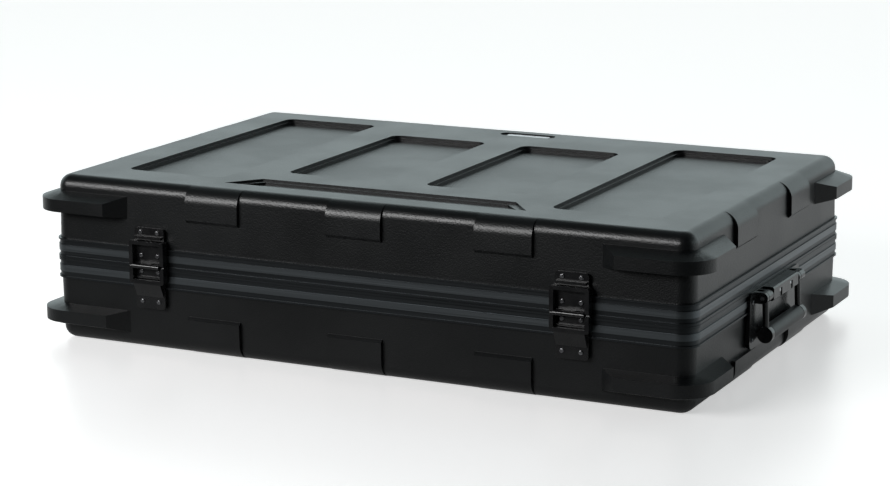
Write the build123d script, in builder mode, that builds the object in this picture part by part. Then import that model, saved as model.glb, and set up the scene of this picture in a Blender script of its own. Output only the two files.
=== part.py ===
import os
from math import radians, tan

from build123d import *

os.makedirs("parts", exist_ok=True)

# Moulded shells. X is the long side, -Y the hinge side, +Y the latch side, Z up from the floor
rim_length = 815.0
rim_depth = 521.0
rim_corner = 19.0
base_height = 100.0
lid_height = 101.0
wall = 4.0
draft = 1.0
edge_round = 15.0
parting_gap = 0.3
fit = 0.1

# Extruded rim frame, one ring on each shell, as heights along the wall and stand-off from the shell
outer_lip_height = 2.0
groove_height = 5.5
band_height = 8.0
rim_lip_height = 3.0
lip_proud = 2.8
band_proud = 2.3
groove_proud = 1.2
web = 2.5
inner_leaf = 2.0
inner_leaf_height = 16.0
seal_width = 3.0
seal_groove_depth = 1.4
seal_proud = 0.2

# Raised saddle pads where the shells take straps and stack on each other
pad_proud = 4.5
pad_bevel = 3.5
long_pad_width = 70.0
long_pad_pitch = 186.0
short_pad_width = 68.0
short_pad_offset = 94.0
pad_from_lid = 58.5
pad_from_base = 54.5
short_pad_from_base = 69.0

# Corner bumpers, as ears round each corner with mitred ends
bumper_reach = 20.0
bumper_long_leg = 103.0
bumper_short_leg = 98.0
bumper_root_low = 56.0
bumper_face_low = 60.0
bumper_face_high = 75.0
bumper_root_high = 82.0

# Recesses in the top of the lid
panel_step = 3.5
panel_depth = 7.0
panel_ledge = 4.5
panel_corner = 12.0
outer_panel_x = (212.0, 345.0)
outer_panel_y = (-193.0, 206.0)
inner_panel_x = (25.5, 158.0)
inner_panel_y = (-133.0, 152.0)
tray_front_y = -217.0
tray_back_y = -178.0
tray_front_half = 194.0
tray_back_half = 164.0
tray_step = 2.5
tray_depth = 5.0
tray_ledge = 7.0
plate_recess_length = 76.0
plate_recess_width = 20.0
plate_recess_depth = 2.5
plate_recess_y = 222.0
name_plate_length = 58.0
name_plate_width = 13.0
name_plate_thickness = 1.2

# Foam lining
floor_foam = 15.0
wall_foam = 24.0
lid_foam_thickness = 20.0
soft_gap = 0.3

# Stay hinges
hinge_pitch = 540.0
leaf_width = 40.0
leaf_thickness = 2.2
leaf_reach = 49.0
leaf_corner = 4.0
frame_width = 47.0
frame_bar = 4.5
frame_corner = 3.0
frame_proud = 8.4
frame_above = 34.0
frame_below = 17.0
hinge_axis_rise = 4.0
knuckle_radius = 3.0
knuckle_gap = 0.3
lid_knuckle_length = 15.0
base_knuckle_length = 10.5
pin_radius = 1.5
pin_clearance = 0.05
sill_height = 3.5
sill_proud = 4.0
ledge_height = 3.2
ledge_proud = 4.2
ledge_rise = 36.0
ridge_drop = 10.5
ridge_height = 2.0
ridge_proud = 2.6
ramp_reach = 34.0
rivet_pitch = 22.5
lid_rivet_rises = (15.5, 43.5)
base_rivet_drops = (3.8, 40.0)

# Rivets
rivet_head_radius = 2.8
rivet_head_height = 1.6
rivet_shank_radius = 2.0
rivet_clearance = 0.1
rivet_bite = 3.5

# Key latches
latch_pitch = 540.0
latch_plate_width = 58.0
latch_plate_thickness = 2.0
latch_plate_reach = 50.0
latch_corner = 5.0
hasp_axis_rise = 27.0
hasp_axis_proud = 4.6
hasp_barrel_radius = 3.4
hasp_pin_radius = 1.6
hasp_width = 38.0
hasp_thickness = 2.4
hasp_reach = 27.0
hasp_lip = 5.0
hasp_lip_rise = 6.0
hasp_lip_proud = 2.0
hasp_knuckle_length = 20.0
keeper_knuckle_length = 9.0
housing_width = 40.0
housing_height = 19.0
housing_proud = 3.0
housing_drop = 29.0
key_drop = 38.0
key_barrel_radius = 6.0
key_bore_clearance = 0.05
key_head_radius = 8.0
key_head_height = 2.0
key_lobe_length = 15.0
key_lobe_width = 7.0
keyway_length = 8.0
keyway_width = 1.4
latch_rivet_pitch = 47.0
latch_lid_rivet_rises = (12.0, 43.0)
latch_base_rivet_drops = (12.0, 43.0)

# Bail handles on the short sides
handle_plate_width = 176.0
handle_plate_height = 66.0
handle_plate_thickness = 2.5
handle_plate_corner = 8.0
handle_axis_drop = 9.0
handle_arm_offset = 58.0
handle_arm_radius = 3.6
handle_axis_proud = 7.5
handle_eye_radius = 6.8
handle_eye_width = 8.0
handle_rod_radius = 2.5
handle_rod_clearance = 0.05
handle_grip_drop = 53.0
grip_radius = 9.5
grip_core_radius = 4.0
grip_lean = 2.0
grip_end_gap = 0.2
knob_radius = 9.5
knob_width = 9.0
ear_width = 6.0
ear_gap = 0.3
ear_round = 6.6
hood_half = 44.0
hood_drop = 17.0
hood_wall = 1.8
spring_offset = 19.0
spring_window = 9.0
spring_turns = 5
spring_wire_radius = 0.8
spring_pitch = 1.4
spring_coil_radius = 3.8
handle_rivet_y = 80.0
handle_rivet_drops = (12.0, 56.0)

# Places worked out from the sizes above
parting = base_height
lid_rim = parting + parting_gap
rim_start = web + fit
frame_seat = lip_proud + fit
leaf_face = frame_seat + leaf_thickness
axis_proud = frame_seat + leaf_thickness + frame_proud
hinge_axis = parting + hinge_axis_rise
half_gap = parting_gap / 2
ring_levels = (
    (rim_lip_height, lip_proud),
    (groove_height, groove_proud),
    (band_height, band_proud),
    (groove_height, groove_proud),
    (outer_lip_height, lip_proud),
)
ring_height = sum(height for height, proud in ring_levels)
pin_length = lid_knuckle_length + 2 * (base_knuckle_length + knuckle_gap)
lid_ceiling = lid_height - parting_gap - wall - panel_depth
rivet_hole_radius = rivet_shank_radius + rivet_clearance
sides = (("left", -1), ("right", 1))


def hinge_plane(proud):
    """Plane facing out of the hinge side, at a stand-off from the rim; its local axes are X and Z."""
    return Plane(origin=(0, -(rim_depth / 2 + proud), 0), x_dir=(1, 0, 0), z_dir=(0, -1, 0))


def latch_plane(proud):
    """Plane facing out of the latch side; its local axes are -X and Z."""
    return Plane(origin=(0, rim_depth / 2 + proud, 0), x_dir=(-1, 0, 0), z_dir=(0, 1, 0))


def handle_plane(proud):
    """Plane facing out of the right short side; its local axes are Y and Z."""
    return Plane(origin=(rim_length / 2 + proud, 0, 0), x_dir=(0, 1, 0), z_dir=(1, 0, 0))


def far_handle_plane(proud):
    """Plane facing out of the left short side; its local axes are -Y and Z."""
    return Plane(origin=(-rim_length / 2 - proud, 0, 0), x_dir=(0, -1, 0), z_dir=(-1, 0, 0))


def save(piece, name):
    piece.part.label = name
    export_step(piece.part, f"parts/{name}.step")


def pair_points(centre, pitch, levels):
    """Two fasteners side by side at each level."""
    return [(centre + turn * pitch / 2, level) for turn in (-1, 1) for level in levels]


hinge_xs = [sign * hinge_pitch / 2 for name, sign in sides]
latch_us = [sign * latch_pitch / 2 for name, sign in sides]
hinge_lid_levels = [parting + rise for rise in lid_rivet_rises]
hinge_base_levels = [parting - drop for drop in base_rivet_drops]
latch_lid_levels = [parting + rise for rise in latch_lid_rivet_rises]
latch_base_levels = [parting - drop for drop in latch_base_rivet_drops]
handle_levels = [parting - drop for drop in handle_rivet_drops]
hinge_lid_points = [p for x in hinge_xs for p in pair_points(x, rivet_pitch, hinge_lid_levels)]
hinge_base_points = [p for x in hinge_xs for p in pair_points(x, rivet_pitch, hinge_base_levels)]
latch_lid_points = [p for u in latch_us for p in pair_points(u, latch_rivet_pitch, latch_lid_levels)]
latch_base_points = [p for u in latch_us for p in pair_points(u, latch_rivet_pitch, latch_base_levels)]
handle_points = pair_points(0, 2 * handle_rivet_y, handle_levels)


def in_ring(level):
    """Whether a fastener at this height goes through the rim frame, and not straight into a shell."""
    return abs(level - parting) < ring_height


def rivet_tail(level):
    """Depth of a rivet's tail: behind the frame's outer leaf, or in the shell's wall."""
    return -rivet_bite if not in_ring(level) else 2 * fit


def lid_footprint(inset):
    """Sketch of the four panels in the lid's top, each made smaller all round by the inset."""
    for panel_x, panel_y in ((outer_panel_x, outer_panel_y), (inner_panel_x, inner_panel_y)):
        for turn in (-1, 1):
            with Locations((turn * sum(panel_x) / 2, sum(panel_y) / 2)):
                RectangleRounded(
                    panel_x[1] - panel_x[0] - 2 * inset,
                    panel_y[1] - panel_y[0] - 2 * inset,
                    panel_corner - inset / 2,
                )


def tray_footprint(inset):
    """Sketch of the long tapered recess along the hinge side of the lid's top."""
    Polygon(
        (-tray_front_half + 2 * inset, tray_front_y + inset),
        (tray_front_half - 2 * inset, tray_front_y + inset),
        (tray_back_half - inset, tray_back_y - inset),
        (-tray_back_half + inset, tray_back_y - inset),
        align=None,
    )


def moulded_half(rim_plane, height, pad_from, short_pad_from, crown_cuts):
    """One shell, standing on its rim plane: drafted walls, saddle pads, bumpers, and its cavity."""
    outwards = Axis(rim_plane.origin, rim_plane.z_dir)

    with BuildPart() as pad_places:
        with BuildSketch(rim_plane.offset(pad_from)):
            with Locations((-long_pad_pitch, 0), (0, 0), (long_pad_pitch, 0)):
                Rectangle(long_pad_width, 2 * rim_depth)
        extrude(amount=height - pad_from)
        with BuildSketch(rim_plane.offset(short_pad_from)):
            with Locations((0, -short_pad_offset), (0, short_pad_offset)):
                Rectangle(2 * rim_length, short_pad_width)
        extrude(amount=height - short_pad_from)

    with BuildPart() as pads:
        with BuildSketch(rim_plane.offset(pad_from)):
            RectangleRounded(
                rim_length + 2 * pad_proud - 2 * (pad_from - rim_start) * tan(radians(draft)),
                rim_depth + 2 * pad_proud - 2 * (pad_from - rim_start) * tan(radians(draft)),
                rim_corner + pad_proud,
            )
        extrude(amount=height - pad_from, taper=draft)
        fillet(pads.faces().sort_by(outwards)[-1].edges(), edge_round + pad_proud)
        chamfer(pads.faces().sort_by(outwards)[0].edges(), pad_bevel)
        add(pad_places.part, mode=Mode.INTERSECT)

    bumper_rings = (
        (bumper_root_low, 0),
        (bumper_face_low, bumper_reach),
        (bumper_face_high, bumper_reach),
        (bumper_root_high, 0),
    )
    with BuildPart() as bumpers:
        for (low, low_reach), (high, high_reach) in zip(bumper_rings, bumper_rings[1:]):
            with BuildSketch(rim_plane.offset(low)):
                RectangleRounded(
                    rim_length + 2 * low_reach, rim_depth + 2 * low_reach, rim_corner + low_reach
                )
            with BuildSketch(rim_plane.offset(high)):
                RectangleRounded(
                    rim_length + 2 * high_reach, rim_depth + 2 * high_reach, rim_corner + high_reach
                )
            loft()
        leg_x = rim_length / 2 - bumper_long_leg
        leg_y = rim_depth / 2 - bumper_short_leg
        sink = 2 * wall
        far = bumper_reach + wall
        with BuildSketch(rim_plane):
            Polygon(
                (leg_x - sink, rim_depth / 2 - sink),
                (rim_length / 2 - sink, rim_depth / 2 - sink),
                (rim_length / 2 - sink, leg_y - sink),
                (rim_length / 2 + far, leg_y + far),
                (rim_length / 2 + far, rim_depth / 2 + far),
                (leg_x + far, rim_depth / 2 + far),
                align=None,
            )
            mirror(about=Plane.YZ)
            mirror(about=Plane.XZ)
        extrude(amount=height, mode=Mode.INTERSECT)

    with BuildPart() as cavity:
        with BuildSketch(rim_plane.offset(rim_start)):
            RectangleRounded(rim_length - 2 * wall, rim_depth - 2 * wall, rim_corner - wall)
        extrude(amount=height - rim_start - wall, taper=draft)
        fillet(cavity.faces().sort_by(outwards)[-1].edges(), edge_round - wall)
        if crown_cuts:
            with BuildSketch(rim_plane.offset(height - wall - panel_depth)):
                lid_footprint(-wall)
                tray_footprint(-wall)
                with Locations((0, plate_recess_y)):
                    Rectangle(plate_recess_length + 2 * wall, plate_recess_width + 2 * wall)
            extrude(amount=panel_depth, mode=Mode.SUBTRACT)

    with BuildPart() as half:
        with BuildSketch(rim_plane.offset(rim_start)):
            RectangleRounded(rim_length, rim_depth, rim_corner)
        extrude(amount=height - rim_start, taper=draft)
        fillet(half.faces().sort_by(outwards)[-1].edges(), edge_round)
        add(pads.part)
        add(bumpers.part)
        add(cavity.part, mode=Mode.SUBTRACT)
        if crown_cuts:
            for inset, depth in ((0, panel_step), (panel_ledge, panel_depth)):
                with BuildSketch(rim_plane.offset(height - depth)):
                    lid_footprint(inset)
                extrude(amount=depth, mode=Mode.SUBTRACT)
            for inset, depth in ((0, tray_step), (tray_ledge, tray_depth)):
                with BuildSketch(rim_plane.offset(height - depth)):
                    tray_footprint(inset)
                extrude(amount=depth, mode=Mode.SUBTRACT)
            with BuildSketch(rim_plane.offset(height - plate_recess_depth)):
                with Locations((0, plate_recess_y)):
                    SlotOverall(plate_recess_length, plate_recess_width)
            extrude(amount=plate_recess_depth, mode=Mode.SUBTRACT)
    return half


def shell_rivet_holes(points, plane_at):
    """Blind holes in a shell's wall for the rivets that miss the rim frame."""
    in_wall = [point for point in points if not in_ring(point[1])]
    with BuildSketch(plane_at(-rivet_bite - fit)) as holes:
        with Locations(*in_wall):
            Circle(rivet_hole_radius)
    extrude(holes.sketch, amount=rivet_bite + pad_proud, mode=Mode.SUBTRACT)


def ring_rivet_holes(points, plane_at):
    """Holes through the outer leaf of the rim frame."""
    in_frame = [point for point in points if in_ring(point[1])]
    with BuildSketch(plane_at(0)) as holes:
        with Locations(*in_frame):
            Circle(rivet_hole_radius)
    extrude(holes.sketch, amount=lip_proud + fit, mode=Mode.SUBTRACT)


def plate_rivet_holes(points, plane_at, depth):
    """Holes through a riveted plate and the bearing pad behind it."""
    with BuildSketch(plane_at(0)) as holes:
        with Locations(*points):
            Circle(rivet_hole_radius)
    extrude(holes.sketch, amount=depth, mode=Mode.SUBTRACT)


def rivets(points, plane_at, seat):
    """Domed rivets on a plate's face, each with its shank down to its tail."""
    with BuildPart() as group:
        for x, level in points:
            with BuildSketch(plane_at(seat)):
                with Locations((x, level)):
                    Circle(rivet_head_radius)
            extrude(amount=rivet_head_height)
        fillet(
            group.faces().filter_by(plane_at(0)).sort_by(Axis((0, 0, 0), plane_at(0).z_dir))[
                -len(points):
            ].edges(),
            rivet_head_height * 0.7,
        )
        for x, level in points:
            tail = rivet_tail(level)
            with BuildSketch(plane_at(tail)):
                with Locations((x, level)):
                    Circle(rivet_shank_radius)
            extrude(amount=seat - tail)
    return group


# Base and lid, thermoformed shells with the bumpers and pads moulded in
base_plane = Plane(origin=(0, 0, parting), x_dir=(1, 0, 0), z_dir=(0, 0, -1))
lid_plane = Plane.XY.offset(lid_rim)
base_form = moulded_half(base_plane, base_height, pad_from_base, short_pad_from_base, False)
lid_form = moulded_half(lid_plane, lid_height - parting_gap, pad_from_lid, pad_from_lid, True)

with BuildPart() as base_shell:
    add(base_form.part)
    shell_rivet_holes(hinge_base_points, hinge_plane)
    shell_rivet_holes(latch_base_points, latch_plane)
    shell_rivet_holes(handle_points, handle_plane)
    shell_rivet_holes(handle_points, far_handle_plane)
save(base_shell, "base_shell")

with BuildPart() as lid_shell:
    add(lid_form.part)
    shell_rivet_holes(hinge_lid_points, hinge_plane)
    shell_rivet_holes(latch_lid_points, latch_plane)
save(lid_shell, "lid_shell")

# Name plate, blank, in its oblong recess near the latch side
plate_floor = parting + lid_height - plate_recess_depth
with BuildPart() as name_plate:
    with BuildSketch(Plane.XY.offset(plate_floor)):
        with Locations((0, plate_recess_y)):
            RectangleRounded(name_plate_length, name_plate_width, 2)
    extrude(amount=name_plate_thickness)
save(name_plate, "name_plate")

# Rim frame, the same extrusion mirrored on both shells: ribbed outer leaf, web and inner leaf
inner_face = wall + fit + inner_leaf_height * tan(radians(draft))
with BuildPart() as ring_form:
    level = parting
    for height, proud in ring_levels:
        with BuildSketch(Plane.XY.offset(level - height)):
            RectangleRounded(rim_length + 2 * proud, rim_depth + 2 * proud, rim_corner + proud)
            RectangleRounded(
                rim_length + 2 * fit, rim_depth + 2 * fit, rim_corner + fit, mode=Mode.SUBTRACT
            )
        extrude(amount=height)
        level -= height
    with BuildSketch(Plane.XY.offset(parting - web)):
        RectangleRounded(
            rim_length + 2 * groove_proud, rim_depth + 2 * groove_proud, rim_corner + groove_proud
        )
        RectangleRounded(
            rim_length - 2 * (inner_face + inner_leaf),
            rim_depth - 2 * (inner_face + inner_leaf),
            rim_corner - inner_face - inner_leaf,
            mode=Mode.SUBTRACT,
        )
    extrude(amount=web)
    with BuildSketch(Plane.XY.offset(parting - inner_leaf_height)):
        RectangleRounded(
            rim_length - 2 * inner_face, rim_depth - 2 * inner_face, rim_corner - inner_face
        )
        RectangleRounded(
            rim_length - 2 * (inner_face + inner_leaf),
            rim_depth - 2 * (inner_face + inner_leaf),
            rim_corner - inner_face - inner_leaf,
            mode=Mode.SUBTRACT,
        )
    extrude(amount=inner_leaf_height)

seal_line = wall / 2


def seal_ring(width):
    """Sketch of a ring round the middle of the rim, this wide."""
    outer = seal_line - width / 2
    inner = seal_line + width / 2
    RectangleRounded(rim_length - 2 * outer, rim_depth - 2 * outer, rim_corner - outer)
    RectangleRounded(
        rim_length - 2 * inner, rim_depth - 2 * inner, rim_corner - inner, mode=Mode.SUBTRACT
    )


with BuildPart() as base_rim_frame:
    add(ring_form.part)
    with BuildSketch(Plane.XY.offset(parting - seal_groove_depth)):
        seal_ring(seal_width + 2 * fit)
    extrude(amount=seal_groove_depth, mode=Mode.SUBTRACT)
    ring_rivet_holes(hinge_base_points, hinge_plane)
    ring_rivet_holes(latch_base_points, latch_plane)
    ring_rivet_holes(handle_points, handle_plane)
    ring_rivet_holes(handle_points, far_handle_plane)
save(base_rim_frame, "base_rim_frame")

with BuildPart() as lid_rim_frame:
    mirror(ring_form.part, about=Plane.XY.offset(parting + half_gap))
    ring_rivet_holes(hinge_lid_points, hinge_plane)
    ring_rivet_holes(latch_lid_points, latch_plane)
save(lid_rim_frame, "lid_rim_frame")

with BuildPart() as rim_seal:
    with BuildSketch(Plane.XY.offset(parting - seal_groove_depth)):
        seal_ring(seal_width)
    extrude(amount=seal_groove_depth + seal_proud)
save(rim_seal, "rim_seal")

# Foam lining: a floor pad, four wall strips standing on it up to the rim, and a pad under the lid's top
lining = inner_face + inner_leaf + soft_gap
foam_top = parting - soft_gap
lining_length = rim_length - 2 * lining
lining_depth = rim_depth - 2 * lining
lining_corner = rim_corner - lining
floor_top = wall + soft_gap + floor_foam
foot_inset = (base_height - wall) * tan(radians(draft)) + edge_round - wall
with BuildPart() as floor_foam_pad:
    with BuildSketch(Plane.XY.offset(wall + soft_gap)):
        RectangleRounded(
            rim_length - 2 * (wall + foot_inset), rim_depth - 2 * (wall + foot_inset), lining_corner
        )
    extrude(amount=floor_foam)
save(floor_foam_pad, "floor_foam")

with BuildPart() as wall_foam_ring:
    with BuildSketch(Plane.XY.offset(floor_top + soft_gap)):
        RectangleRounded(lining_length, lining_depth, lining_corner)
        Rectangle(lining_length - 2 * wall_foam, lining_depth - 2 * wall_foam, mode=Mode.SUBTRACT)
    extrude(amount=foam_top - floor_top - soft_gap)
    with BuildSketch(Plane.XY.offset(floor_top)):
        for turn in (-1, 1):
            with Locations((0, turn * (lining_depth / 2 - wall_foam - soft_gap / 2))):
                Rectangle(rim_length, soft_gap)
    extrude(amount=foam_top, mode=Mode.SUBTRACT)
save(wall_foam_ring, "wall_foam")

lid_foam_top = lid_rim + lid_ceiling - soft_gap
with BuildPart() as lid_foam_pad:
    with BuildSketch(Plane.XY.offset(lid_foam_top - lid_foam_thickness)):
        RectangleRounded(
            rim_length - 2 * (wall + foot_inset), rim_depth - 2 * (wall + foot_inset), lining_corner
        )
    extrude(amount=lid_foam_thickness)
save(lid_foam_pad, "lid_foam")


def frame_corners(leaf, centre, level):
    """The two outer corners of a hinge frame at this height."""
    near = fit / 2
    return leaf.edges().filter_by(Axis.Y).filter_by(
        lambda edge: abs(abs(edge.center().X - centre) - frame_width / 2) < near
        and abs(edge.center().Z - level) < near
    )


# Stay hinges: two leaves whose raised frames meet at the pin, which stands out at the frames' face
hinge_y = -(rim_depth / 2 + axis_proud)
window_width = frame_width - 2 * frame_bar - 1
for name, sign in sides:
    hinge_x = sign * hinge_pitch / 2
    barrel = Rotation(0, 90, 0)
    base_knuckle_xs = [
        hinge_x + turn * (lid_knuckle_length / 2 + knuckle_gap + base_knuckle_length / 2)
        for turn in (-1, 1)
    ]
    leaf_low = hinge_axis + knuckle_gap
    leaf_high = parting + leaf_reach
    pad_low = parting + ring_height + 1
    with BuildPart() as lid_leaf:
        with BuildSketch(hinge_plane(frame_seat)):
            with Locations((hinge_x, (leaf_low + leaf_high) / 2)):
                RectangleRounded(leaf_width, leaf_high - leaf_low, leaf_corner)
        extrude(amount=leaf_thickness)
        with BuildSketch(hinge_plane(fit)):
            with Locations((hinge_x, (pad_low + leaf_high) / 2)):
                RectangleRounded(leaf_width - 2, leaf_high - pad_low - 2, leaf_corner - 1)
        extrude(amount=frame_seat)
        frame_low = hinge_axis + half_gap
        frame_high = parting + frame_above
        with BuildSketch(hinge_plane(frame_seat)):
            with Locations((hinge_x, (frame_low + frame_high) / 2)):
                Rectangle(frame_width, frame_high - frame_low)
        extrude(amount=leaf_thickness + frame_proud)
        fillet(frame_corners(lid_leaf, hinge_x, frame_high), frame_corner)
        with BuildSketch(hinge_plane(leaf_face)):
            with Locations((hinge_x, (frame_low + frame_high - frame_bar) / 2)):
                Rectangle(window_width, frame_high - frame_low - frame_bar)
        extrude(amount=frame_proud, mode=Mode.SUBTRACT)
        with BuildSketch(hinge_plane(leaf_face)):
            with Locations((hinge_x, leaf_low + sill_height / 2)):
                Rectangle(window_width, sill_height)
        extrude(amount=sill_proud)
        with BuildSketch(hinge_plane(leaf_face)):
            with Locations((hinge_x, parting + ledge_rise + ledge_height / 2)):
                Rectangle(leaf_width - 4, ledge_height)
        extrude(amount=ledge_proud)
        with BuildSketch(hinge_plane(leaf_face)):
            with Locations((hinge_x, leaf_low + sill_height / 2)):
                Rectangle(lid_knuckle_length, sill_height)
        extrude(amount=frame_proud)
        with Locations((hinge_x, hinge_y, hinge_axis)):
            Cylinder(knuckle_radius, lid_knuckle_length, rotation=barrel)
            Cylinder(
                pin_radius + pin_clearance, 2 * frame_width, rotation=barrel, mode=Mode.SUBTRACT
            )
        plate_rivet_holes(pair_points(hinge_x, rivet_pitch, hinge_lid_levels), hinge_plane, leaf_face)
    save(lid_leaf, f"hinge_lid_leaf_{name}")

    leaf_low = parting - leaf_reach
    leaf_high = hinge_axis - knuckle_gap
    pad_high = parting - ring_height - 1
    with BuildPart() as base_leaf:
        with BuildSketch(hinge_plane(frame_seat)):
            with Locations((hinge_x, (leaf_low + leaf_high) / 2)):
                RectangleRounded(leaf_width, leaf_high - leaf_low, leaf_corner)
        extrude(amount=leaf_thickness)
        with BuildSketch(hinge_plane(fit)):
            with Locations((hinge_x, (leaf_low + pad_high) / 2)):
                RectangleRounded(leaf_width - 2, pad_high - leaf_low - 2, leaf_corner - 1)
        extrude(amount=frame_seat)
        frame_low = parting - frame_below
        frame_high = hinge_axis - half_gap
        with BuildSketch(hinge_plane(frame_seat)):
            with Locations((hinge_x, (frame_low + frame_high) / 2)):
                Rectangle(frame_width, frame_high - frame_low)
        extrude(amount=leaf_thickness + frame_proud)
        fillet(frame_corners(base_leaf, hinge_x, frame_low), frame_corner)
        with BuildSketch(hinge_plane(leaf_face)):
            with Locations((hinge_x, (frame_low + frame_high + frame_bar) / 2)):
                Rectangle(window_width, frame_high - frame_low - frame_bar)
        extrude(amount=frame_proud, mode=Mode.SUBTRACT)
        with BuildSketch(hinge_plane(leaf_face)):
            with Locations((hinge_x, parting - ridge_drop)):
                Rectangle(leaf_width - 4, ridge_height)
        extrude(amount=ridge_proud)
        with BuildSketch(Plane.YZ.offset(hinge_x - leaf_width / 2 + 1.5)):
            Polygon(
                (-(rim_depth / 2 + leaf_face - fit), frame_low + 1),
                (hinge_y + 0.8, frame_low + 1),
                (hinge_y + 0.8, frame_low - 1.5),
                (-(rim_depth / 2 + leaf_face + 0.6), parting - ramp_reach),
                (-(rim_depth / 2 + leaf_face - fit), parting - ramp_reach),
                align=None,
            )
        extrude(amount=leaf_width - 3)
        with BuildSketch(hinge_plane(leaf_face - fit)):
            web_height = knuckle_radius - knuckle_gap
            with Locations(*[(x, leaf_high - web_height / 2) for x in base_knuckle_xs]):
                Rectangle(base_knuckle_length, web_height)
        extrude(amount=frame_proud + fit)
        with Locations(*[(x, hinge_y, hinge_axis) for x in base_knuckle_xs]):
            Cylinder(knuckle_radius, base_knuckle_length, rotation=barrel)
        with Locations((hinge_x, hinge_y, hinge_axis)):
            Cylinder(
                pin_radius + pin_clearance, 2 * frame_width, rotation=barrel, mode=Mode.SUBTRACT
            )
        plate_rivet_holes(
            pair_points(hinge_x, rivet_pitch, hinge_base_levels), hinge_plane, leaf_face
        )
    save(base_leaf, f"hinge_base_leaf_{name}")

    with BuildPart() as hinge_pin:
        with Locations((hinge_x, hinge_y, hinge_axis)):
            Cylinder(pin_radius, pin_length, rotation=barrel)
    save(hinge_pin, f"hinge_pin_{name}")

hinge_lid_rivets = rivets(hinge_lid_points, hinge_plane, leaf_face)
save(hinge_lid_rivets, "hinge_lid_rivets")
hinge_base_rivets = rivets(hinge_base_points, hinge_plane, leaf_face)
save(hinge_base_rivets, "hinge_base_rivets")

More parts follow.
